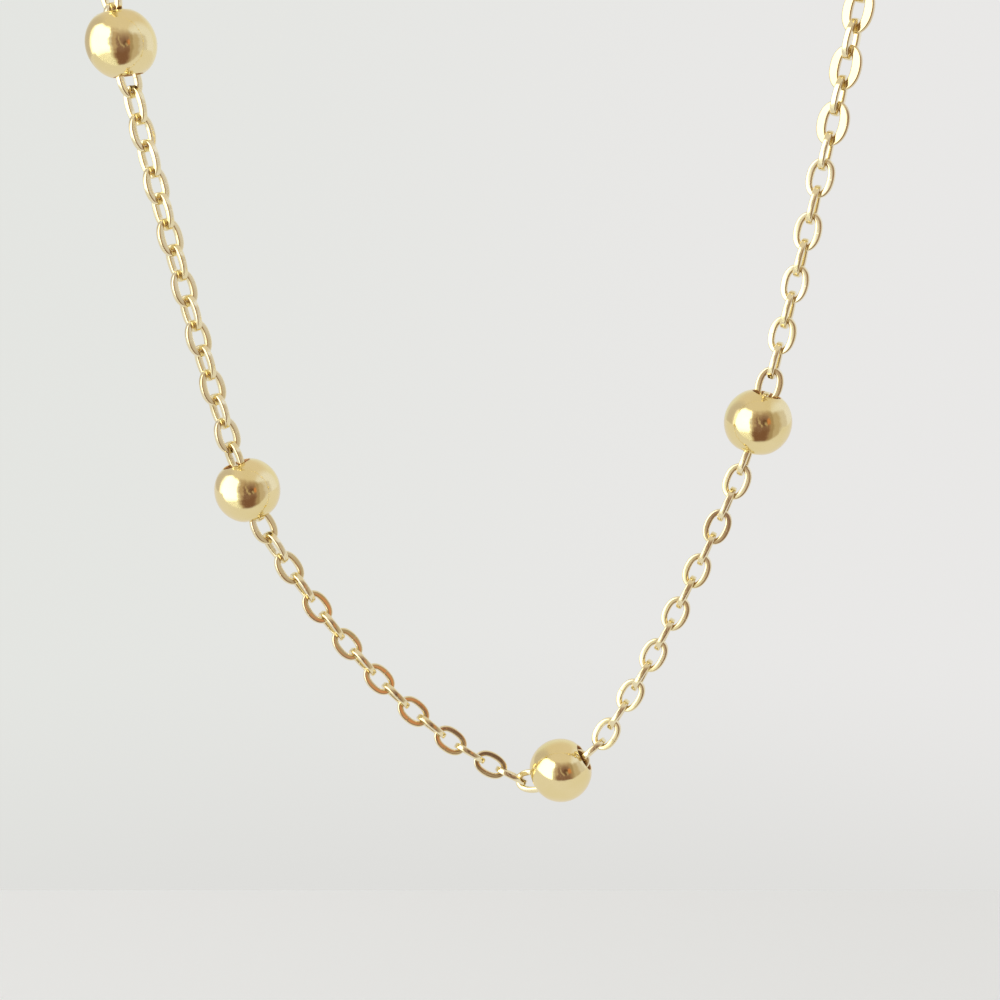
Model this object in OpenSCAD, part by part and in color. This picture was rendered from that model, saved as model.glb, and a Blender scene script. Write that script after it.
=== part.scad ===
// Ball station necklace: a fine cable chain with plain round balls threaded on
// it, closed by a spring ring clasp. It hangs in the XZ plane, +Z up, over a
// round support, and the origin is the underside of the top ball, where it
// rests on that support. Millimetres.

/* [Balls] */
// Diameter of a ball
ball_d = 3; // [2.8:0.1:3.2]
// Diameter of the hole through a ball
bore_d = 1.3; // [1.25:0.05:1.4]

/* [Chain] */
// Distance from one link to the next
link_pitch = 1.14; // [1.1:0.01:1.18]
// Diameter of the tube that stands for the chain
chain_d = 1.15; // [1:0.05:1.15]
// Links from one ball to the next
ball_step = 18; // [17:1:19]
// Links from the lowest ball to the next one on its right
right_step = 17; // [16:1:19]
// Links from the lowest ball to the next one on its left
left_step = 19; // [17:1:20]

/* [Hang] */
// Sideways pull in the chain, as the length of plain chain that weighs as much
pull = 13.2; // [12:0.3:15]
// Weight of one ball, as the length of plain chain that weighs as much
ball_load = 27; // [24:1:30]
// Pull along the lowest ball that tips it up to the right, in the same measure
lean = 8.2; // [6:0.1:10]

/* [Clasp] */
// Outer diameter of the spring ring
clasp_d = 6; // [5.5:0.5:6.5]
// Thickness of the spring ring
clasp_wire = 1.2; // [1:0.1:1.3]
// Outer diameter of the two plain rings beside the clasp
ring_d = 2.9; // [2.7:0.1:3.2]
// Wire of the two plain rings
ring_wire = 0.45; // [0.4:0.05:0.5]

/* [Hidden] */
gold = "#dcc581";
// Clear distance between pieces that are linked or meet face to face
gap = 0.1;
// Half of the straight run of chain through a ball
hold = 1.5 * link_pitch;
// Balls that have slid along the chain: which one, and how far up its strand
slid = [[8, -0.13], [9, 0.15], [10, -0.28]];
function slip(i) = let(s = [for (r = slid) if (r[0] == i) r[1]]) len(s) > 0 ? s[0] : 0;
// Eye of the clasp: wire and outer diameter
eye_wire = 0.5;
eye_d = 2.4;

// Links between balls, going up each strand from the lowest ball
right_steps = [right_step, for (i = [1:6]) ball_step];
left_steps = [left_step, for (i = [1:8]) ball_step];
function steps(side) = side > 0 ? right_steps : left_steps;

// A slope v is the weight borne below a point over the sideways pull.
function asinh(v) = ln(v + sqrt(1 + v * v));
function along(v) = [1, v] / sqrt(1 + v * v);
// Step across and up between two slopes of a freely hanging chain
function sag(v0, v1) = pull * [asinh(v1) - asinh(v0), sqrt(1 + v1 * v1) - sqrt(1 + v0 * v0)];

function bare(side, j) = (steps(side)[j] - 3) * link_pitch;
function bare_below(side, j) = j == 0 ? 0 : bare_below(side, j - 1) + bare(side, j - 1);
// Slope just above ball j, at the top of the stretch above it, and through it
function v_low(side, j) = (side * lean + ball_load * (j + 0.5) + bare_below(side, j)) / pull;
function v_top(side, j) = v_low(side, j) + bare(side, j) / pull;
function v_ball(side, j) = v_low(side, j) - ball_load / 2 / pull;

// Direction of the hole in ball j, and its centre, from the lowest ball and
// with x running outwards on either side
function axis(side, j) = side < 0 && j == len(left_steps) ? [0, 1] : along(v_ball(side, j));
function centre(side, j) = j == 0 ? [0, 0]
    : centre(side, j - 1) + hold * axis(side, j - 1)
      + sag(v_low(side, j - 1), v_top(side, j - 1)) + hold * axis(side, j);

// The stretch with the clasp, above the top ball of the right strand, ends
// level with the top ball of the left strand.
nr = len(right_steps);
nl = len(left_steps);
gap_foot = centre(1, nr) + hold * axis(1, nr);
gap_rise = centre(-1, nl)[1] - hold - gap_foot[1];
gap_v0 = v_low(1, nr);
gap_v1 = sqrt(pow(gap_rise / pull + sqrt(1 + gap_v0 * gap_v0), 2) - 1);
gap_len = pull * (gap_v1 - gap_v0);
function in_gap(q) = gap_foot + sag(gap_v0, gap_v0 + q / pull);

// Over the support the chain follows a half circle with upright ends.
x_right = in_gap(gap_len)[0];
x_left = -centre(-1, nl)[0];
bow = (x_right - x_left) / 2;
bow_z = ball_d / 2 - bow;
half_bow = bow * PI / 2;
// Point and direction at distance t from the top, to the right or to the left
function over(t) = abs(t) <= half_bow
    ? [bow * sin(t / bow * 180 / PI), bow_z + bow * cos(t / bow * 180 / PI)]
    : [sign(t) * bow, bow_z + half_bow - abs(t)];
function over_dir(t) = abs(t) <= half_bow
    ? [cos(t / bow * 180 / PI), -sin(t / bow * 180 / PI)] : [0, -sign(t)];
top_step = ball_step * link_pitch;

// Shift from the lowest ball to the frame of the part
foot = [-(x_right + x_left) / 2, bow_z + half_bow - 2 * top_step - centre(-1, nl)[1]];
function place(side, p) = foot + [side * p[0], p[1]];

loop_len = link_pitch * ball_step * 4 + gap_len + 2 * hold
    + link_pitch * (right_step + left_step + ball_step * (nr + nl - 2));
echo(loop_len = loop_len, bow = bow, lowest = foot, gap_len = gap_len);

// Balls are numbered from the one below the clasp, down the right strand,
// through the lowest one, up the left strand and over the support.
low = nr + 1;
high = low + nl;
function ball_at(i) = i <= low ? place(1, centre(1, low - i))
    : i <= high ? place(-1, centre(-1, i - low)) : over((i - high - 2) * top_step);
function ball_dir(i) = i <= low ? axis(1, low - i)
    : i <= high ? [-axis(-1, i - low)[0], axis(-1, i - low)[1]]
    : over_dir((i - high - 2) * top_step);

// Points of the chain between two balls on a strand, going up, with more
// rings where it bends more
function cuts(j) = j < 3 ? 4 : 2;
function climb(side, j) = concat(
    [centre(side, j) + gap / 2 * axis(side, j)],
    [for (i = [0:cuts(j)]) centre(side, j) + hold * axis(side, j)
        + sag(v_low(side, j), v_low(side, j) + bare(side, j) * i / cuts(j) / pull)],
    [centre(side, j + 1) - gap / 2 * axis(side, j + 1)]);
function stretch(k) = k <= low ? [for (p = climb(1, low - k)) place(1, p)]
    : k <= high ? [for (p = climb(-1, k - low - 1)) place(-1, p)]
    : [for (t = [gap / 2, hold, 6, 10, 14, top_step - hold, top_step - gap / 2])
        over((k - high - 3) * top_step + t)];

// The clasp sits in the middle of its stretch, in line with the strand.
eye_z = clasp_d / 2 + eye_d / 2 - eye_wire;
ring_up_z = eye_z + eye_d / 2 - eye_wire - gap + ring_d / 2 - ring_wire;
ring_down_z = -clasp_d / 2 + clasp_wire + gap - ring_d / 2 + ring_wire;
end_up = ring_up_z + ring_d / 2 + gap;
end_down = ring_down_z - ring_d / 2 - gap;
clasp_q = gap_len / 2 - (end_up + end_down) / 2;
clasp_at = place(1, in_gap(clasp_q));
clasp_dir = along(gap_v0 + clasp_q / pull);
function on_clasp(z) = clasp_at + z * clasp_dir;
tail_down = [ball_at(1) + gap / 2 * ball_dir(1), place(1, in_gap(0)),
    place(1, in_gap((clasp_q + end_down) / 2)), on_clasp(end_down)];
tail_up = [on_clasp(end_up), place(1, in_gap((clasp_q + end_up + gap_len) / 2)),
    place(1, in_gap(gap_len)), over(2 * top_step) - [0, gap / 2]];

// A tube of eight sides through points of the XZ plane
module tube(pts) {
    n = len(pts);
    dirs = [for (i = [0:n - 1]) let(
        a = i == 0 ? pts[1] - pts[0] : pts[i] - pts[i - 1],
        b = i == n - 1 ? a : pts[i + 1] - pts[i],
        s = a / norm(a) + b / norm(b)) s / norm(s)];
    polyhedron(
        points = [for (i = [0:n - 1]) for (k = [0:7]) let(
            u = chain_d / 2 * cos(45 * k), w = chain_d / 2 * sin(45 * k))
            [pts[i][0] - dirs[i][1] * u, w, pts[i][1] + dirs[i][0] * u]],
        faces = concat(
            [[for (k = [0:7]) k]],
            [for (i = [0:n - 2]) for (k = [0:7]) let(m = (k + 1) % 8)
                [i * 8 + k, (i + 1) * 8 + k, (i + 1) * 8 + m, i * 8 + m]],
            [[for (k = [7:-1:0]) (n - 1) * 8 + k]]));
}

// Puts a piece made along Z at a point of the XZ plane, along a direction
module set_at(p, d) {
    translate([p[0], 0, p[1]]) rotate([0, atan2(d[0], d[1]), 0]) children();
}

module hoop(outer, wire) {
    rotate_extrude($fn = 64) translate([(outer - wire) / 2, 0]) circle(d = wire, $fn = 24);
}

module ball(i) {
    color(gold) set_at(ball_at(i) + slip(i) * ball_dir(i), ball_dir(i)) difference() {
        sphere(d = ball_d, $fn = 64);
        cylinder(d = bore_d, h = ball_d + 1, center = true, $fn = 32);
    }
}

module chain(k) {
    color(gold) tube(k == 1 ? tail_down : k == high + 5 ? tail_up : stretch(k));
}

module clasp() {
    color(gold) set_at(clasp_at, clasp_dir) {
        rotate([90, 0, 0]) hoop(clasp_d, clasp_wire);
        translate([0, 0, eye_z]) rotate([90, 0, 0]) hoop(eye_d, eye_wire);
        rotate([0, 60, 0]) translate([0, 0, clasp_d / 2 - 0.3]) cylinder(d = 0.7, h = 0.9, $fn = 24);
    }
}

module ring_upper() {
    color(gold) set_at(on_clasp(ring_up_z), clasp_dir) rotate([0, 90, 0]) hoop(ring_d, ring_wire);
}

module ring_lower() {
    color(gold) set_at(on_clasp(ring_down_z), clasp_dir) rotate([0, 90, 0]) hoop(ring_d, ring_wire);
}

BALLS = ["ball_01", "ball_02", "ball_03", "ball_04", "ball_05", "ball_06", "ball_07",
    "ball_08", "ball_09", "ball_10", "ball_11", "ball_12", "ball_13", "ball_14",
    "ball_15", "ball_16", "ball_17", "ball_18", "ball_19", "ball_20", "ball_21"];
CHAINS = ["chain_01", "chain_02", "chain_03", "chain_04", "chain_05", "chain_06",
    "chain_07", "chain_08", "chain_09", "chain_10", "chain_11", "chain_12",
    "chain_13", "chain_14", "chain_15", "chain_16", "chain_17", "chain_18",
    "chain_19", "chain_20", "chain_21", "chain_22"];

for (i = [1:len(BALLS)]) ball(i);
for (k = [1:len(CHAINS)]) chain(k);
clasp();
ring_upper();
ring_lower();
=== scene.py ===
import math
import random

import bpy
import numpy as np
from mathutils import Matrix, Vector


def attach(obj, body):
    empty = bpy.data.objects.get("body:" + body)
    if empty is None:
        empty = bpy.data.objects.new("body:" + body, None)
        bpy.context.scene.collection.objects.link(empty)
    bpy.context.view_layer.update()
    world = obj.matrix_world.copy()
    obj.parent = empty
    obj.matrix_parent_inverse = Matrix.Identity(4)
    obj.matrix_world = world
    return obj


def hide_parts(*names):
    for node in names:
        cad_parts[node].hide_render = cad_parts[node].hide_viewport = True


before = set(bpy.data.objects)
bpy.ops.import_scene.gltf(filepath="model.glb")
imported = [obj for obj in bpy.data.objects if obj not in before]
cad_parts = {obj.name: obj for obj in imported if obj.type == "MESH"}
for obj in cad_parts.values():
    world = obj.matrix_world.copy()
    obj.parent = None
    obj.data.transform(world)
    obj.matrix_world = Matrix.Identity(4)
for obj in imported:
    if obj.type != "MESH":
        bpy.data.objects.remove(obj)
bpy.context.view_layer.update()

MM = 0.001

# ---------------------------------------------------------------- the route
# The same hanging line as the solids: x to the right, z up, in millimetres.
PITCH = 1.14
BALL_D = 3.0
PULL, LOAD, LEAN = 13.2, 27.0, 8.2
HOLD = 1.5 * PITCH
RIGHT = [17] + [18] * 6
LEFT = [19] + [18] * 8
TOP = 18 * PITCH


def steps(s):
    return RIGHT if s > 0 else LEFT


def along(v):
    return np.array([1.0, v]) / math.hypot(1, v)


def sag(v0, v1):
    return PULL * np.array([math.asinh(v1) - math.asinh(v0), math.hypot(1, v1) - math.hypot(1, v0)])


def bare(s, j):
    return (steps(s)[j] - 3) * PITCH


def v_low(s, j):
    return (s * LEAN + LOAD * (j + 0.5) + sum(bare(s, i) for i in range(j))) / PULL


def v_ball(s, j):
    return v_low(s, j) - LOAD / 2 / PULL


def axis(s, j):
    return np.array([0.0, 1.0]) if s < 0 and j == len(LEFT) else along(v_ball(s, j))


def centre(s, j):
    p = np.zeros(2)
    for i in range(1, j + 1):
        p = p + HOLD * axis(s, i - 1) + sag(v_low(s, i - 1), v_low(s, i - 1) + bare(s, i - 1) / PULL) + HOLD * axis(s, i)
    return p


NR, NL = len(RIGHT), len(LEFT)
GAP_FOOT = centre(1, NR) + HOLD * axis(1, NR)
GAP_RISE = centre(-1, NL)[1] - HOLD - GAP_FOOT[1]
GAP_V0 = v_low(1, NR)
GAP_V1 = math.sqrt((GAP_RISE / PULL + math.hypot(1, GAP_V0)) ** 2 - 1)
GAP_LEN = PULL * (GAP_V1 - GAP_V0)


def in_gap(q):
    return GAP_FOOT + sag(GAP_V0, GAP_V0 + q / PULL)


X_RIGHT = in_gap(GAP_LEN)[0]
X_LEFT = -centre(-1, NL)[0]
BOW = (X_RIGHT - X_LEFT) / 2
BOW_Z = BALL_D / 2 - BOW
HALF_BOW = BOW * math.pi / 2
FOOT = np.array([-(X_RIGHT + X_LEFT) / 2, BOW_Z + HALF_BOW - 2 * TOP - centre(-1, NL)[1]])


def place(s, p):
    return FOOT + np.array([s * p[0], p[1]])


def over(t):
    if abs(t) <= HALF_BOW:
        return np.array([BOW * math.sin(t / BOW), BOW_Z + BOW * math.cos(t / BOW)])
    return np.array([math.copysign(BOW, t), BOW_Z + HALF_BOW - abs(t)])


def on_strand(s, j, k):
    """The point k pitches above ball j of a strand."""
    n = steps(s)[j]
    if k <= 1.5:
        p = centre(s, j) + k * PITCH * axis(s, j)
    elif k >= n - 1.5:
        p = centre(s, j + 1) - (n - k) * PITCH * axis(s, j + 1)
    else:
        p = centre(s, j) + HOLD * axis(s, j) + sag(v_low(s, j), v_low(s, j) + (k - 1.5) * PITCH / PULL)
    return place(s, p)


def in_tail(k):
    """The point k pitches above the top ball of the right strand."""
    if k <= 1.5:
        return place(1, centre(1, NR) + k * PITCH * axis(1, NR))
    return place(1, in_gap((k - 1.5) * PITCH))


def in_tail_up(k):
    """The point k pitches below the ball above the clasp."""
    if k <= 1.5:
        return over(2 * TOP + k * PITCH)
    return place(1, in_gap(GAP_LEN - (k - 1.5) * PITCH))


# Balls 1 to 21 from the one below the clasp, down the right strand, through
# the lowest one, up the left strand and over the support. Each has its centre
# and the direction of its hole. Some have slid a little up their strand.
SLID = {8: -0.13, 9: 0.15, 10: -0.28}
BALLS = {}
for j in range(NR, -1, -1):
    BALLS[NR + 1 - j] = (place(1, centre(1, j)), axis(1, j))
for j in range(1, NL + 1):
    a = axis(-1, j)
    BALLS[NR + 1 + j] = (place(-1, centre(-1, j)), np.array([-a[0], a[1]]))
for i in range(NR + NL + 2, NR + NL + 6):
    t = (i - NR - NL - 3) * TOP
    d = over(t + 0.01) - over(t - 0.01)
    BALLS[i] = (over(t), d / np.linalg.norm(d))
for i, by in SLID.items():
    BALLS[i] = (BALLS[i][0] + by * BALLS[i][1], BALLS[i][1])

# Joints between links, in pitches from the lowest ball, right positive: a row
# for each stretch of chain with its two ends and where its points lie.
STRETCHES = {1: (125, [in_tail(k) for k in range(13)])}
up = 0
for j in range(NR):
    n = RIGHT[j]
    STRETCHES[NR + 1 - j] = (up, [on_strand(1, j, k) for k in range(n + 1)])
    up += n
down = 0
for j in range(NL):
    n = LEFT[j]
    STRETCHES[NR + 2 + j] = (down - n, [on_strand(-1, j, n - k) for k in range(n + 1)])
    down -= n
for i in range(4):
    t0 = (i - 2) * TOP
    STRETCHES[NR + NL + 2 + i] = (down - 18, [over(t0 + (18 - k) * PITCH) for k in range(19)])
    down -= 18
STRETCHES[22] = (down - 12, [in_tail_up(12 - k) for k in range(13)])

# Turn of the face-on links about the strand, in degrees, against where they
# are along it.
TURN = [
    (-247.0, -90.0), (-170.0, -84.0), (-90.0, -66.0), (-50.0, -58.0), (-36.0, -55.0),
    (-34.0, -54.0), (-31.0, -52.5), (-28.0, -48.5), (-25.0, -47.5), (-22.0, -45.0),
    (-19.0, -44.0), (-16.5, -42.0), (-13.5, -31.0), (-11.5, -34.0), (-9.5, -30.2),
    (-7.5, -29.8), (-5.5, -26.8), (-3.5, -26.2), (-1.5, -14.0), (0.5, -24.0), (1.5, -23.0),
    (2.5, -19.2), (4.5, -19.2), (6.5, -17.1), (8.5, -15.4), (10.5, -16.1),
    (12.5, -13.6), (14.5, -19.8), (18.5, -17.6), (20.5, -21.2), (22.5, -21.6),
    (24.5, -21.4), (26.5, -21.7), (28.5, -27.0), (30.5, -31.5), (32.5, -35.0),
    (34.0, -38.0), (40.0, -28.0), (70.0, -10.0), (137.0, 0.0),
]


def turn(u):
    return math.radians(float(np.interp(u, [r[0] for r in TURN], [r[1] for r in TURN])))


# ---------------------------------------------------------------- meshes
def new_mesh(name, verts, quads, **values):
    """A smooth mesh object from millimetre points and four-sided faces, with
    one number a point for each named attribute."""
    verts = np.asarray(verts, float) * MM
    quads = np.asarray(quads, np.int32)
    me = bpy.data.meshes.new(name)
    me.vertices.add(len(verts))
    me.vertices.foreach_set("co", verts.astype(np.float32).ravel())
    me.loops.add(quads.size)
    me.loops.foreach_set("vertex_index", quads.ravel())
    me.polygons.add(len(quads))
    me.polygons.foreach_set("loop_start", np.arange(0, quads.size, 4, dtype=np.int32))
    me.polygons.foreach_set("use_smooth", np.ones(len(quads), bool))
    for key, v in values.items():
        me.attributes.new(key, "FLOAT", "POINT").data.foreach_set("value", np.asarray(v, np.float32))
    me.update(calc_edges=True)
    me.validate()
    o = bpy.data.objects.new(name, me)
    bpy.context.scene.collection.objects.link(o)
    return o


def grid(rings, around, closed):
    """Faces of a tube of rings; closed joins the last ring to the first."""
    i, k = np.meshgrid(np.arange(rings if closed else rings - 1), np.arange(around), indexing="ij")
    i2, k2 = (i + 1) % rings, (k + 1) % around
    return np.stack([i * around + k, i * around + k2, i2 * around + k2, i2 * around + k], -1).reshape(-1, 4)


def outward(verts, quads):
    """The faces of a closed shape, turned over if they look inwards."""
    p = verts - verts.mean(0)
    a, b, c, d = (p[quads[:, k]] for k in range(4))
    volume = (np.cross(a, b) * c).sum() + (np.cross(a, c) * d).sum()
    return quads if volume > 0 else quads[:, ::-1]


def join(parts):
    """One set of points and faces from several closed shapes."""
    verts, quads, n = [], [], 0
    for v, q in parts:
        verts.append(v)
        quads.append(outward(v, np.asarray(q)) + n)
        n += len(v)
    return np.concatenate(verts), np.concatenate(quads)


# ---------------------------------------------------------------- links
BAND = 0.30       # width of the link's flat band, halfway along a side
BAND_END = 0.25   # and at the ends
THICK = 0.27      # thickness of the link
CORNER = 0.064    # roundness of the band's edges
CROWN = 0.004     # how far its flats are domed
WRING = 0.018     # how far one corner of the link is twisted out of its plane
INNER = 0.596     # half of the inner length
HALF_W = 0.60     # half of the outer width
POWER = 2.25      # roundness of the oval
# Links pushed aside by the rim of a ball's hole: by how much, across the
# strand, and how much narrower they are
PUSHED = {-2: (0.03, 0.95)}
# Joints that lie off the line: how far behind it, and how far above it
OFF_LINE = {-4: (0.16, -0.04), -3: (0.16, -0.04), -2: (0.33, -0.13)}


def rounded(n, flat, thick, corner):
    """Points round the band's section: corners of n steps, flats of so many.
    Each has where it lies across (-1 to 1 from the middle of each flat), the
    offset of its corner and its height."""
    pts = []
    for cx, cy, a0 in ((1, 1, 0), (-1, 1, 90), (-1, -1, 180), (1, -1, 270)):
        for i in range(n + 1):
            a = math.radians(a0 + 90 * i / n)
            pts.append((cx, corner * math.cos(a), cy * (thick / 2 - corner) + corner * math.sin(a)))
        if a0 in (0, 180):
            for i in range(1, flat):
                k = cx * (1 - 2 * i / flat)
                pts.append((k, 0.0, cy * (thick / 2)))
    return np.array(pts)


def link_shape(n_ring, n_corner, flat, seam_depth, band=BAND, band_end=BAND_END, half_w=HALF_W, thick=THICK, corner=CORNER):
    """A link in its own plane: x along the strand, y across, z its thickness.
    Returns points, faces and how near each point is to the ends' inside, where the next links touch; it sets the
    painted shade there."""
    a, b = INNER + band_end / 2, half_w - band / 2
    th = np.linspace(0, 2 * np.pi, 4001)
    c, s = np.cos(th), np.sin(th)
    e = 2 / POWER
    p = np.stack([a * np.sign(c) * np.abs(c) ** e, b * np.sign(s) * np.abs(s) ** e], -1)
    seg = np.linalg.norm(np.diff(p, axis=0), axis=1)
    arc = np.concatenate([[0], np.cumsum(seg)])
    total = arc[-1]
    at = np.arange(n_ring) / n_ring * total
    seam = total / 4
    if seam_depth:
        # extra rings at the seam, halfway along one long side
        at = np.concatenate([at, seam + np.array([-0.03, -0.012, -0.005, 0.0, 0.005, 0.012, 0.03])])
    at = np.unique(np.round(at % total, 6))
    q = np.stack([np.interp(at, arc, p[:, 0]), np.interp(at, arc, p[:, 1])], -1)
    h = 0.004
    f = np.stack([np.interp((at + h) % total, arc, p[:, 0]), np.interp((at + h) % total, arc, p[:, 1])], -1)
    g = np.stack([np.interp((at - h) % total, arc, p[:, 0]), np.interp((at - h) % total, arc, p[:, 1])], -1)
    tan = f - g
    tan /= np.linalg.norm(tan, axis=1)[:, None]
    out = np.stack([tan[:, 1], -tan[:, 0]], -1)
    sec = rounded(n_corner, flat, thick, corner)
    m = len(sec)
    pinch = 1 - seam_depth * np.exp(-(((at - seam) / 0.006) ** 2))
    # the band is widest halfway along the sides
    width = band_end + (band - band_end) * (1 - (q[:, 0] / a) ** 2)
    across = sec[None, :, 0] * (width[:, None] / 2 - corner) + sec[None, :, 1]
    share = across / (width[:, None] / 2)
    height = sec[None, :, 2] + np.sign(sec[None, :, 2]) * CROWN * (np.clip(1 - share**2, 0, 1) - 0.4)
    v = np.zeros((len(at), m, 3))
    v[:, :, 0] = q[:, 0, None] + out[:, 0, None] * across * pinch[:, None]
    v[:, :, 1] = q[:, 1, None] + out[:, 1, None] * across * pinch[:, None]
    v[:, :, 2] = height * pinch[:, None] + WRING * v[:, :, 0] * v[:, :, 1] / (a * b)
    # painted shade: darker towards the inside of each end, where the next link touches
    inside = np.clip(-share, 0, 1) * np.clip((np.abs(q[:, 0, None]) - 0.40) / 0.22, 0, 1)
    return v.reshape(-1, 3), grid(len(at), m, True)[:, ::-1], inside.reshape(-1)


FINE = link_shape(48, 4, 5, 0.03)
PLAIN = link_shape(28, 2, 2, 0)
# a few links high on the right strand are pressed flatter and wider
FLATTER = link_shape(48, 4, 5, 0.03, 0.43, 0.33, 0.69, 0.22, 0.06)
PRESSED = (28, 30, 32)


def chain(k, shape):
    u0, joints = STRETCHES[k]
    rnd = random.Random(700 + k)
    pts, faces, wear, tone = [], [], [], []
    for i in range(len(joints) - 1):
        a, b = (np.array([p[0], OFF_LINE.get(q, (0, 0))[0], p[1] + OFF_LINE.get(q, (0, 0))[1]])
                for p, q in ((joints[i], u0 + i), (joints[i + 1], u0 + i + 1)))
        mid, t = (a + b) / 2, (b - a) / np.linalg.norm(b - a)
        u = u0 + i + 0.5
        n = int(round(u - 0.5))
        v, f, w = FLATTER if n in PRESSED else shape
        phi = turn(u) + (0 if n % 2 == 0 else math.pi / 2) + math.radians(rnd.uniform(-1.5, 1.5))
        front = np.array([0, -1.0, 0]) + t[1] * t
        front /= np.linalg.norm(front)
        side = np.cross(t, front)
        nrm = math.cos(phi) * front + math.sin(phi) * side
        acr = np.cross(nrm, t)
        by, slim = PUSHED.get(n, (0.0, 1.0))
        flip_a, flip_n = rnd.choice((-1, 1)), rnd.choice((-1, 1))
        size = slim * (1 + rnd.uniform(-0.006, 0.006))
        local = v * np.array([flip_a, flip_n, flip_a * flip_n]) * np.array([1, size, 1])
        pts.append(mid + by * side + local[:, :1] * t + local[:, 1:2] * acr + local[:, 2:] * nrm)
        faces.append(f)
        # the pressed links get painted shade all over, which dims the window's highlight on them
        wear.append(np.maximum(w, 0.6) if n in PRESSED else w)
        tone.append(np.full(len(v), rnd.random()))
    verts, quads = join(list(zip(pts, faces)))
    return new_mesh(f"links_{k:02d}", verts, quads, wear=np.concatenate(wear), tone=np.concatenate(tone))


# ---------------------------------------------------------------- balls
BORE = 0.645


def ball(i, around, rows):
    (x, z), d = BALLS[i]
    rnd = random.Random(40 + i)
    r0 = BALL_D / 2
    lip = 0.045
    # the sphere ends where the rounded lip of the hole begins
    start = math.asin((BORE + lip) / (r0 - lip))
    prof = []
    for q in range(rows + 1):
        a = start + (math.pi - 2 * start) * q / rows
        prof.append((r0 * math.sin(a), r0 * math.cos(a)))
    cz = (r0 - lip) * math.cos(start)
    top = []
    for q in range(7):
        a = math.pi - (math.pi / 2 + start) * q / 7
        top.append((BORE + lip + lip * math.cos(a), cz + lip * math.sin(a)))
    # from the middle of the hole up over the lip, down the sphere and back
    inner = [(BORE, h * cz) for h in (0.0, 0.35, 0.62, 0.82, 0.94)]
    prof = inner + top + prof + [(r, -h) for r, h in reversed(top)] + [(r, -h) for r, h in reversed(inner[1:])]
    prof = np.array(prof)
    n = len(prof)
    al = np.arange(around) / around * 2 * np.pi
    lobes = [(3, 0.5), (4, 0.35), (6, 0.3), (9, 0.18)]
    wave = {}
    for side in (1, -1):
        wave[side] = sum(g * np.sin(m * al + rnd.uniform(0, 6.28)) for m, g in lobes)
    rr, zz = prof[:, 0], prof[:, 1]
    near = np.exp(-((np.arctan2(rr, np.abs(zz)) - start) / math.radians(7.5)) ** 2)
    v = np.zeros((n, around, 3))
    for q in range(n):
        s = 1 if zz[q] >= 0 else -1
        push = near[q] * (-0.018 + 0.012 * wave[s])
        length = math.hypot(rr[q], zz[q])
        r = rr[q] * (1 + push / length)
        h = zz[q] * (1 + push / length)
        v[q, :, 0] = r * np.cos(al)
        v[q, :, 1] = r * np.sin(al)
        v[q, :, 2] = h
    v = v.reshape(-1, 3)
    t = np.array([d[0], 0, d[1]])
    e1 = np.array([0, 1.0, 0])
    e2 = np.cross(t, e1)
    verts = np.array([x, 0, z]) + v[:, :1] * e1 + v[:, 1:2] * e2 + v[:, 2:] * t
    quads = outward(verts, grid(n, around, True))
    # painted shade in the hole and the inner half of its lip, which are also made rougher
    deep = np.clip((BORE + 0.6 * lip - rr) / (0.5 * lip), 0, 1)
    o = new_mesh(f"bead_{i:02d}", verts, quads, wear=np.repeat(deep, around), tone=np.full(len(verts), rnd.random()))
    return o


# ---------------------------------------------------------------- clasp
CLASP_D, CLASP_WIRE = 6.0, 1.2
EYE_D, EYE_WIRE, EYE_Z = 2.4, 0.5, 3.7
RING_D, RING_WIRE = 2.9, 0.45
RING_UP_Z = EYE_Z + EYE_D / 2 - EYE_WIRE - 0.1 + RING_D / 2 - RING_WIRE
RING_DOWN_Z = -CLASP_D / 2 + CLASP_WIRE + 0.1 - RING_D / 2 + RING_WIRE
CLASP_Q = GAP_LEN / 2 - (RING_UP_Z + RING_DOWN_Z) / 2
CLASP_AT = place(1, in_gap(CLASP_Q))
CLASP_DIR = along(GAP_V0 + CLASP_Q / PULL)


def on_clasp(v):
    """Clasp points, z along the strand, to where the clasp hangs."""
    t = np.array([CLASP_DIR[0], 0, CLASP_DIR[1]])
    side = np.array([CLASP_DIR[1], 0, -CLASP_DIR[0]])
    at = np.array([CLASP_AT[0], 0, CLASP_AT[1]])
    return at + v[:, :1] * side + v[:, 1:2] * np.array([0, 1.0, 0]) + v[:, 2:] * t


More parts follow.
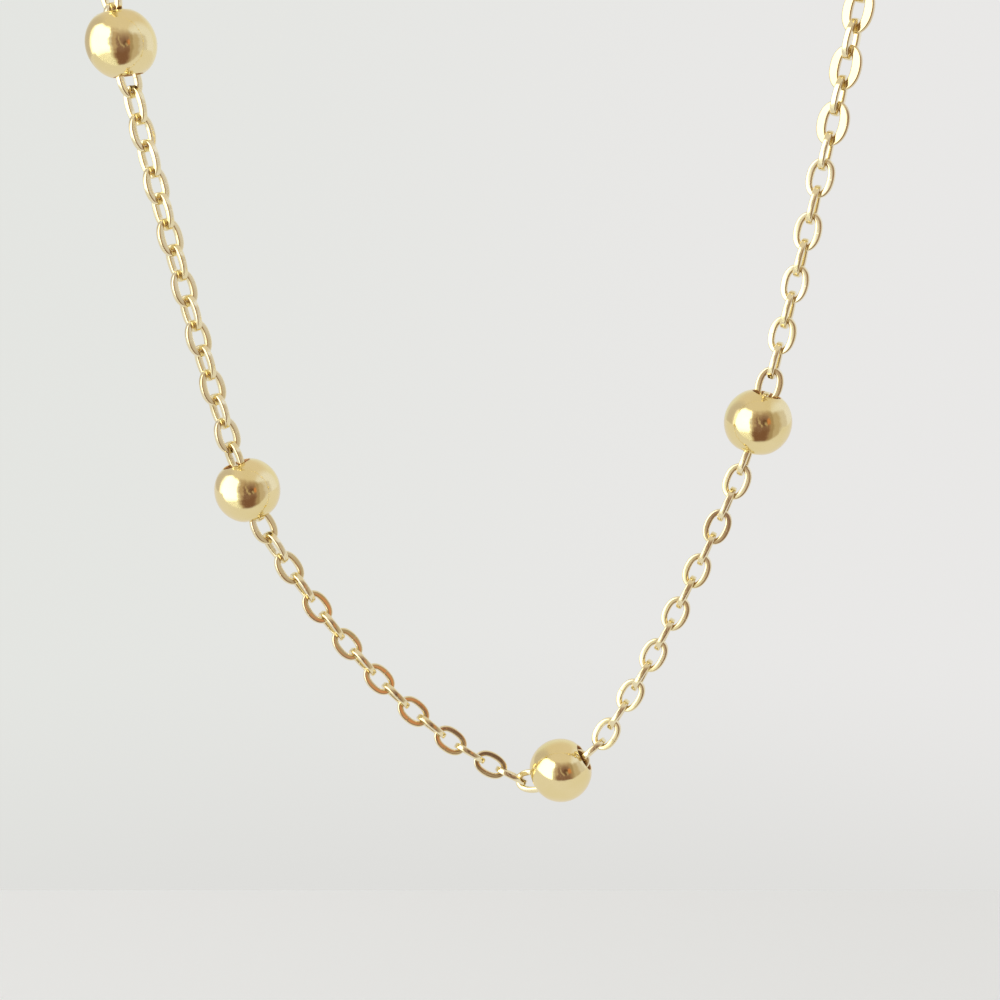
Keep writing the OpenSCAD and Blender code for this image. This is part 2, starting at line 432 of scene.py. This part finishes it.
def sweep_ring(radius, section, a0, a1, n, m, plane="xz", capped=True):
    """A bent wire: section(angle) is its radius at each angle in degrees,
    counted from +z towards +x (or +y)."""
    closed = abs(abs(a1 - a0) - 360) < 1e-9
    angles = np.linspace(a0, a1, n + 1)[: n if closed else n + 1]
    rings = []
    b = np.arange(m) / m * 2 * np.pi
    rows = [(a, section(a)) for a in angles]
    if not closed and capped:
        # rounded ends
        def end(a, sgn):
            r = section(a)
            got = []
            for q in (0.25, 0.55, 0.8, 0.96):
                got.append((a + sgn * math.degrees(0.12 * r * math.sin(q * math.pi / 2)) / radius, r * (1 - 0.25 * (1 - math.cos(q * math.pi / 2)))))
            got.append((got[-1][0] + sgn * 0.01, r * 0.35))
            got.append((got[-1][0], r * 0.02))
            return got
        s = 1 if a1 > a0 else -1
        rows = end(a0, -s)[::-1] + rows + end(a1, s)
    for a, r in rows:
        ra = math.radians(a)
        u = radius + r * np.cos(b)
        h = r * np.sin(b)
        if plane == "xz":
            rings.append(np.stack([u * math.sin(ra), h, u * math.cos(ra)], -1))
        else:
            rings.append(np.stack([h, u * math.sin(ra), u * math.cos(ra)], -1))
    v = np.concatenate(rings)
    q = grid(len(rows), m, closed)
    if not closed:
        # close both ends with a small fan of four-sided faces
        caps = []
        for base in (0, (len(rows) - 1) * m):
            for k in range(1, m // 2):
                f = [base + k, base + k - 1, base + (m - k) % m, base + m - k - 1]
                caps.append(f if base else f[::-1])
        q = np.concatenate([q, np.array(caps)])
    return v, q


def lathe(profile, m, origin, direction, close=True):
    """A turned solid: profile rows are radius and height along direction."""
    direction = np.array(direction, float) / np.linalg.norm(direction)
    e1 = np.array([0, 1.0, 0])
    e2 = np.cross(direction, e1)
    b = np.arange(m) / m * 2 * np.pi
    v = []
    for r, h in profile:
        v.append(np.array(origin) + direction * h + r * (np.cos(b)[:, None] * e1 + np.sin(b)[:, None] * e2))
    q = grid(len(profile), m, False)
    caps = []
    for base in (0, (len(profile) - 1) * m):
        for k in range(1, m // 2):
            f = [base + k, base + k - 1, base + (m - k) % m, base + m - k - 1]
            caps.append(f if base else f[::-1])
    return np.concatenate(v), np.concatenate([q, np.array(caps)])


def bolt_radius(a):
    """The spring ring's radius: a tube, and the bolt across its opening."""
    a = a % 360
    if 78 < a < 122:
        edge = min(a - 78, 122 - a)
        k = min(1.0, edge / 1.2)
        return 0.6 - 0.2 * (k * k * (3 - 2 * k))
    edge = min(abs(a - 78), abs(a - 122))
    if edge < 5:
        return 0.6 + 0.03 * math.sin(edge / 5 * math.pi)
    return 0.6


def clasp():
    parts = []
    a = np.unique(np.concatenate([np.linspace(0, 360, 181), np.linspace(77, 83, 25), np.linspace(117, 123, 25)]))[:-1]
    m = 32
    b = np.arange(m) / m * 2 * np.pi
    rings = []
    for ang in a:
        r = bolt_radius(ang)
        u = (CLASP_D - CLASP_WIRE) / 2 + r * np.cos(b)
        ra = math.radians(ang)
        rings.append(np.stack([u * math.sin(ra), r * np.sin(b), u * math.cos(ra)], -1))
    parts.append((np.concatenate(rings), grid(len(a), m, True)))
    # eye, with a fillet of solder where it meets the tube
    v, q = sweep_ring((EYE_D - EYE_WIRE) / 2, lambda a: EYE_WIRE / 2 + 0.10 * math.exp(-((a % 360 - 180) / 22) ** 2), 0, 360, 72, 20)
    parts.append((v + np.array([0, 0, EYE_Z]), q))
    # trigger
    d = (math.sin(math.radians(60)), 0, math.cos(math.radians(60)))
    prof = [(0.01, -0.32), (0.26, -0.31), (0.27, -0.2), (0.25, 0.1), (0.24, 0.25), (0.27, 0.31), (0.345, 0.36), (0.36, 0.43), (0.345, 0.50), (0.29, 0.56), (0.20, 0.585), (0.10, 0.595), (0.01, 0.6)]
    parts.append(lathe(prof, 24, [x * CLASP_D / 2 for x in d], d))
    verts, quads = join(parts)
    return new_mesh("spring_clasp", on_clasp(verts), quads, tone=np.full(len(verts), 0.5), wear=np.zeros(len(verts)))


def jump_ring(name, z, gap_at):
    v, q = sweep_ring((RING_D - RING_WIRE) / 2, lambda a: RING_WIRE / 2, gap_at + 1.6, gap_at + 358.4, 96, 20, "yz")
    v = v + np.array([0, 0, z])
    return new_mesh(name, on_clasp(v), q, tone=np.full(len(v), 0.4), wear=np.zeros(len(v)))


# ---------------------------------------------------------------- gold
def gold(name, low, high, rough, rough_span, bump, wear_dark, wear_share, wear_rough):
    mat = bpy.data.materials.new(name)
    mat.use_nodes = True
    nt = mat.node_tree
    N, L = nt.nodes, nt.links
    b = N["Principled BSDF"]
    b.inputs["Metallic"].default_value = 1.0
    co = N.new("ShaderNodeTexCoord")

    def noise(scale, detail, rough=0.5, stretch=None):
        src = co.outputs["Object"]
        if stretch:
            mp = N.new("ShaderNodeMapping")
            mp.inputs["Scale"].default_value = stretch
            L.new(src, mp.inputs["Vector"])
            src = mp.outputs["Vector"]
        t = N.new("ShaderNodeTexNoise")
        t.inputs["Scale"].default_value = scale
        t.inputs["Detail"].default_value = detail
        t.inputs["Roughness"].default_value = rough
        L.new(src, t.inputs["Vector"])
        return t.outputs["Fac"]

    def mapped(src, lo, hi, to0, to1):
        r = N.new("ShaderNodeMapRange")
        r.inputs["From Min"].default_value = lo
        r.inputs["From Max"].default_value = hi
        r.inputs["To Min"].default_value = to0
        r.inputs["To Max"].default_value = to1
        L.new(src, r.inputs["Value"])
        return r.outputs["Result"]

    def mix(f, a, c):
        m = N.new("ShaderNodeMix")
        m.data_type = "RGBA"
        if isinstance(f, float):
            m.inputs[0].default_value = f
        else:
            L.new(f, m.inputs[0])
        for k, x in ((6, a), (7, c)):
            if isinstance(x, tuple):
                m.inputs[k].default_value = x
            else:
                L.new(x, m.inputs[k])
        return m.outputs[2]

    def math_node(op, a, c):
        m = N.new("ShaderNodeMath")
        m.operation = op
        for k, x in ((0, a), (1, c)):
            if isinstance(x, float):
                m.inputs[k].default_value = x
            else:
                L.new(x, m.inputs[k])
        return m.outputs[0]

    def attr(key):
        a = N.new("ShaderNodeAttribute")
        a.attribute_name = key
        return a.outputs["Fac"]

    # plating: two close golds in soft clouds, and a shade for each piece
    cloud = mapped(noise(900, 3), 0.35, 0.65, 0.0, 1.0)
    col = mix(cloud, low, high)
    each = mapped(attr("tone"), 0.0, 1.0, 0.0, 0.35)
    col = mix(each, col, high)
    # painted shade: a darker brown where the painted shade attribute is set
    col = mix(mapped(attr("wear"), 0.05, 1.0, 0.0, wear_share), col, wear_dark)
    L.new(col, b.inputs["Base Color"])
    # finish: polished, with dull spots and hairline scratches
    spots = mapped(noise(2600, 4, 0.6), 0.42, 0.70, 0.0, 1.0)
    lines = mapped(noise(5200, 2, 0.5, (1.0, 0.25, 0.12)), 0.40, 0.72, 0.0, 1.0)
    dull = math_node("ADD", math_node("MULTIPLY", spots, 0.6), math_node("MULTIPLY", lines, 0.4))
    finish = mapped(dull, 0.0, 1.0, rough, rough + rough_span)
    # and rougher where the painted shade is set (only the balls' bores)
    L.new(math_node("ADD", finish, mapped(attr("wear"), 0.05, 1.0, 0.0, wear_rough)), b.inputs["Roughness"])
    bm = N.new("ShaderNodeBump")
    bm.inputs["Strength"].default_value = bump
    bm.inputs["Distance"].default_value = 0.00006
    height = math_node("ADD", math_node("MULTIPLY", noise(1300, 2), 1.0), math_node("MULTIPLY", lines, 0.12))
    L.new(height, bm.inputs["Height"])
    L.new(bm.outputs["Normal"], b.inputs["Normal"])
    return mat


# each gold's dark brown is the painted shade colour it takes at link contacts, pressed links and the balls' bores
GOLD_BALL = gold("polished_ball_gold", (0.90, 0.765, 0.365, 1), (0.93, 0.80, 0.42, 1), 0.085, 0.07, 0.22, (0.72, 0.45, 0.24, 1), 1.0, 0.55)
GOLD_CHAIN = gold("link_gold", (0.91, 0.80, 0.45, 1), (0.95, 0.865, 0.56, 1), 0.10, 0.08, 0.08, (0.60, 0.40, 0.15, 1), 0.6, 0.0)
GOLD_CLASP = gold("clasp_gold_finish", (0.90, 0.77, 0.36, 1), (0.94, 0.82, 0.43, 1), 0.10, 0.08, 0.18, (0.55, 0.36, 0.13, 1), 0.55, 0.0)

# ---------------------------------------------------------------- the necklace
for k in sorted(STRETCHES):
    o = chain(k, FINE if 7 <= k <= 11 else PLAIN)
    o.data.materials.append(GOLD_CHAIN)
    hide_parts(f"chain_{k:02d}")
    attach(o, "root")
for i in sorted(BALLS):
    near = 7 <= i <= 10
    o = ball(i, 128 if near else 64, 84 if near else 34)
    o.data.materials.append(GOLD_BALL)
    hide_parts(f"ball_{i:02d}")
    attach(o, "root")
for o, node in (
    (clasp(), "clasp"),
    (jump_ring("jump_ring_upper", RING_UP_Z, 75), "ring_upper"),
    (jump_ring("jump_ring_lower", RING_DOWN_Z, 250), "ring_lower"),
):
    o.data.materials.append(GOLD_CLASP)
    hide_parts(node)
    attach(o, "root")

# ---------------------------------------------------------------- camera
PSI, TILT, DIST = -0.0525, 0.2679, 66.0
FWD = np.array([math.sin(PSI) * math.cos(TILT), math.cos(PSI) * math.cos(TILT), -math.sin(TILT)])
AIM = np.array([0.9053, 0.0, -188.7938])
CAM = AIM - FWD * DIST
RIGHT_OF = np.cross(FWD, [0, 0, 1.0])
RIGHT_OF /= np.linalg.norm(RIGHT_OF)
UP_OF = np.cross(RIGHT_OF, FWD)
cam = bpy.data.objects.new("camera", bpy.data.cameras.new("camera"))
bpy.context.scene.collection.objects.link(cam)
cam.location = Vector(CAM * MM)
cam.rotation_euler = Vector(FWD).to_track_quat("-Z", "Y").to_euler()
cam.data.sensor_width = 36.0
cam.data.lens = 52.165
cam.data.clip_start = 0.001
cam.data.clip_end = 20.0
bpy.context.scene.camera = cam

# ---------------------------------------------------------------- floor and light
bpy.context.scene.view_settings.view_transform = "Standard"


def flat(name, points, faces):
    me = bpy.data.meshes.new(name)
    me.from_pydata([tuple(x * MM for x in p) for p in points], [], faces)
    o = bpy.data.objects.new(name, me)
    bpy.context.scene.collection.objects.link(o)
    return o


# The floor ends far behind the necklace, square to the camera, so that its
# back edge is a faint level line low in the picture.
FLOOR_Z = -480.0
FLOOR_BACK = (CAM[2] - FLOOR_Z) / math.tan(math.atan(390 / 1449.0) + TILT)
AHEAD = np.array([math.sin(PSI), math.cos(PSI), 0.0])
FLOOR_AT = np.array([CAM[0], CAM[1], FLOOR_Z])
floor = flat("floor", [tuple(FLOOR_AT + RIGHT_OF * x + AHEAD * y) for x, y in ((-3000, -3000), (3000, -3000), (3000, FLOOR_BACK), (-3000, FLOOR_BACK))], [(0, 1, 2, 3)])
m = bpy.data.materials.new("pale_floor")
m.use_nodes = True
m.node_tree.nodes["Principled BSDF"].inputs["Base Color"].default_value = (0.87, 0.92, 0.94, 1)
m.node_tree.nodes["Principled BSDF"].inputs["Roughness"].default_value = 0.7
floor.data.materials.append(m)


def fade(x, lo, hi):
    """0 below lo, 1 above hi and smooth between, or the reverse."""
    t = min(1.0, max(0.0, (x - lo) / (hi - lo)))
    return t * t * (3 - 2 * t)


def blend(k, a, b):
    return tuple(p + (q - p) * k for p, q in zip(a, b))


def soft_card(name, us, vs, where, tone, strength):
    """A glowing card that shows in the metal only. where(u, v) is a point of
    it, and tone(u, v) its colour and how far it covers what is behind it."""
    pts, cols = [], []
    for u in us:
        for v in vs:
            pts.append(tuple(where(u, v)))
            cols.extend(tone(u, v))
    n = len(vs)
    faces = [(i * n + j, i * n + j + 1, (i + 1) * n + j + 1, (i + 1) * n + j) for i in range(len(us) - 1) for j in range(n - 1)]
    o = flat(name, pts, faces)
    o.data.attributes.new("tone", "FLOAT_COLOR", "POINT").data.foreach_set("color", cols)
    m = bpy.data.materials.new(name + "_glow")
    m.use_nodes = True
    nt = m.node_tree
    nt.nodes.clear()
    a = nt.nodes.new("ShaderNodeAttribute")
    a.attribute_name = "tone"
    e = nt.nodes.new("ShaderNodeEmission")
    e.inputs["Strength"].default_value = strength
    nt.links.new(a.outputs["Color"], e.inputs["Color"])
    x = nt.nodes.new("ShaderNodeMixShader")
    nt.links.new(a.outputs["Alpha"], x.inputs[0])
    nt.links.new(nt.nodes.new("ShaderNodeBsdfTransparent").outputs[0], x.inputs[1])
    nt.links.new(e.outputs[0], x.inputs[2])
    nt.links.new(x.outputs[0], nt.nodes.new("ShaderNodeOutputMaterial").inputs["Surface"])
    o.data.materials.append(m)
    o.visible_camera = False
    o.visible_diffuse = False
    o.visible_transmission = False
    o.visible_volume_scatter = False
    o.visible_shadow = False
    return o


def span(a, b, step):
    n = max(1, int(round((b - a) / step)))
    return [a + (b - a) * i / n for i in range(n + 1)]


# A window to the left: azimuth (0 is -Y, positive to the left) and elevation
def window_at(az, el):
    a, e = math.radians(az), math.radians(el)
    return (AIM[0] - 700 * math.sin(a) * math.cos(e), -700 * math.cos(a) * math.cos(e), AIM[2] + 700 * math.sin(e))


def window_tone(az, el):
    top = 47 - 16 * fade(az, 72, 102) - 8 * fade(az, 40, 10)
    cover = fade(el, top + 4, top - 3) * fade(el, -38, -10) * fade(az, 107, 82) * fade(az, -12, -8)
    return (1.0, 0.985, 0.95, cover)


soft_card("window_light", span(-14, 118, 2), span(-36, 53, 2), window_at, window_tone, 2.4)


# A painted reflection of the photographer, the phone and a hand behind the camera, a glowing card seen only in the
# metal, from left of it to far right, where it bends back: x and z are counted from the camera, in the camera's own
# plane
REFLECTION_SCALE = 93 / 50


def reflection_card_at(x, z):
    far = max(0.0, (x - 62) / 58)
    return (CAM[0] + REFLECTION_SCALE * x + 125 * far, -93 + 123 * far * far, CAM[2] + REFLECTION_SCALE * z)


def reflection_card_tone(x, z):
    w = x + 2.4 * math.sin(0.13 * z + 0.6) + 1.1 * math.sin(0.41 * z + 2.0)
    h = z + 4.0 * math.sin(0.10 * x + 1.0) + 2.0 * math.sin(0.29 * x)
    c = blend(fade(h, -16, -6), (0.76, 0.74, 0.67), (0.79, 0.79, 0.84))
    c = blend(fade(w, -26, -18), c, (0.50, 0.38, 0.30))
    c = blend(fade(w + 6 * fade(h, -8, -15), -13, -3), c, (0.25, 0.15, 0.13))
    # painted reflection: paler above, and a dark warm zone that ends in an orange patch
    c = blend(0.8 * fade(h, 12, 42), c, (0.52, 0.41, 0.34))
    mid = fade(h, -12, -5) * fade(h, 15, 8)
    c = blend(mid * fade(w, 8, 16), c, (0.14, 0.075, 0.055))
    c = blend(fade(w, 24, 46) * (1 - mid), c, (0.47, 0.35, 0.27))
    c = blend(mid * fade(w, 27, 30.5), c, (0.62, 0.27, 0.13))
    c = blend(fade(w, 40, 45), c, (0.40, 0.31, 0.23))
    c = blend(fade(w, 54, 66), c, (0.54, 0.46, 0.40))
    c = blend(fade(w, 82, 102), c, (0.68, 0.65, 0.71))
    # painted highlights: bright streaks and a spot; and a dark foot
    k = w + 0.35 * h
    streak = fade(k, 4, 6) * fade(k, 11, 8) * fade(h, -12, -4) * fade(h, 30, 20)
    spot = math.exp(-(((w - 24) / 3.5) ** 2) - ((h + 4) / 5) ** 2)
    c = blend(0.6 * streak, c, (0.80, 0.68, 0.50))
    c = blend(0.7 * spot, c, (0.80, 0.68, 0.50))
    c = blend(0.85 * fade(h, -8, -30) * fade(w, 50, 20) * fade(w, -20, -8), c, (0.20, 0.10, 0.07))
    high = 58 + 0.5 * max(0, w - 40)
    cover = fade(w, -33, -28) * fade(w, 150, 128) * fade(h, high + 8, high - 26)
    return (*c, cover)


soft_card("painted_reflection", span(-38, 152, 1), span(-150, 126, 1.5), reflection_card_at, reflection_card_tone, 1.0)


# A bright table top under the necklace, its front edge just before it
def table_at(x, y):
    return (x, y, AIM[2] - 15.5)


def table_tone(x, y):
    return (0.97, 0.94, 0.97, fade(abs(x), 150, 110) * fade(y, -15, -11) * fade(y, 150, 100))


soft_card("table_top", span(-150, 150, 6), span(-17, 5, 1) + span(11, 150, 6), table_at, table_tone, 0.8)


# The far sides of the room: a round screen to the left and one to the right,
# at an angle off the X axis and turned about it
def side_at(s):
    def at(off, about):
        a, b = math.radians(off), math.radians(about)
        return (AIM[0] + s * 2000 * math.cos(a), 2000 * math.sin(a) * math.sin(b), AIM[2] + 2000 * math.sin(a) * math.cos(b))
    return at


soft_card("left_side", span(0, 64, 4), span(0, 360, 12), side_at(-1),
          lambda off, about: (0.60, 0.55, 0.56, fade(math.cos(math.radians(off)), 0.45, 0.75)), 1.0)
soft_card("right_side", span(0, 64, 4), span(0, 360, 12), side_at(1),
          lambda off, about: (0.84, 0.86, 1.05, fade(math.cos(math.radians(off)), 0.45, 0.75)), 1.0)

key = bpy.data.objects.new("key_light", bpy.data.lights.new("key_light", "AREA"))
bpy.context.scene.collection.objects.link(key)
key.data.size = 0.8
key.data.energy = 5.0
key.location = (-0.7, -0.6, 0.5)
key.rotation_euler = (Vector((0, 0, -0.15)) - key.location).to_track_quat("-Z", "Y").to_euler()
key.visible_glossy = False

world = bpy.data.worlds.new("studio")
bpy.context.scene.world = world
world.use_nodes = True
nt = world.node_tree
bg = nt.nodes["Background"]
co = nt.nodes.new("ShaderNodeTexCoord")
sep = nt.nodes.new("ShaderNodeSeparateXYZ")
nt.links.new(co.outputs["Generated"], sep.inputs[0])


def ramp(socket, lo, hi, a, c):
    r = nt.nodes.new("ShaderNodeMapRange")
    r.interpolation_type = "SMOOTHSTEP"
    r.inputs["From Min"].default_value = lo
    r.inputs["From Max"].default_value = hi
    nt.links.new(socket, r.inputs["Value"])
    x = nt.nodes.new("ShaderNodeMix")
    x.data_type = "RGBA"
    nt.links.new(r.outputs[0], x.inputs[0])
    for k, v in ((6, a), (7, c)):
        if isinstance(v, tuple):
            x.inputs[k].default_value = (*v, 1)
        else:
            nt.links.new(v, x.inputs[k])
    return x.outputs[2]


side_tone = ramp(sep.outputs["X"], -0.45, 0.25, (0.775, 0.785, 0.755), (0.815, 0.808, 0.797))
tone = ramp(sep.outputs["Z"], -0.56, -0.34, (0.725, 0.722, 0.702), side_tone)
tone = ramp(sep.outputs["Z"], 0.25, 0.75, tone, (0.74, 0.67, 0.62))
nt.links.new(tone, bg.inputs["Color"])
bg.inputs["Strength"].default_value = 1.0
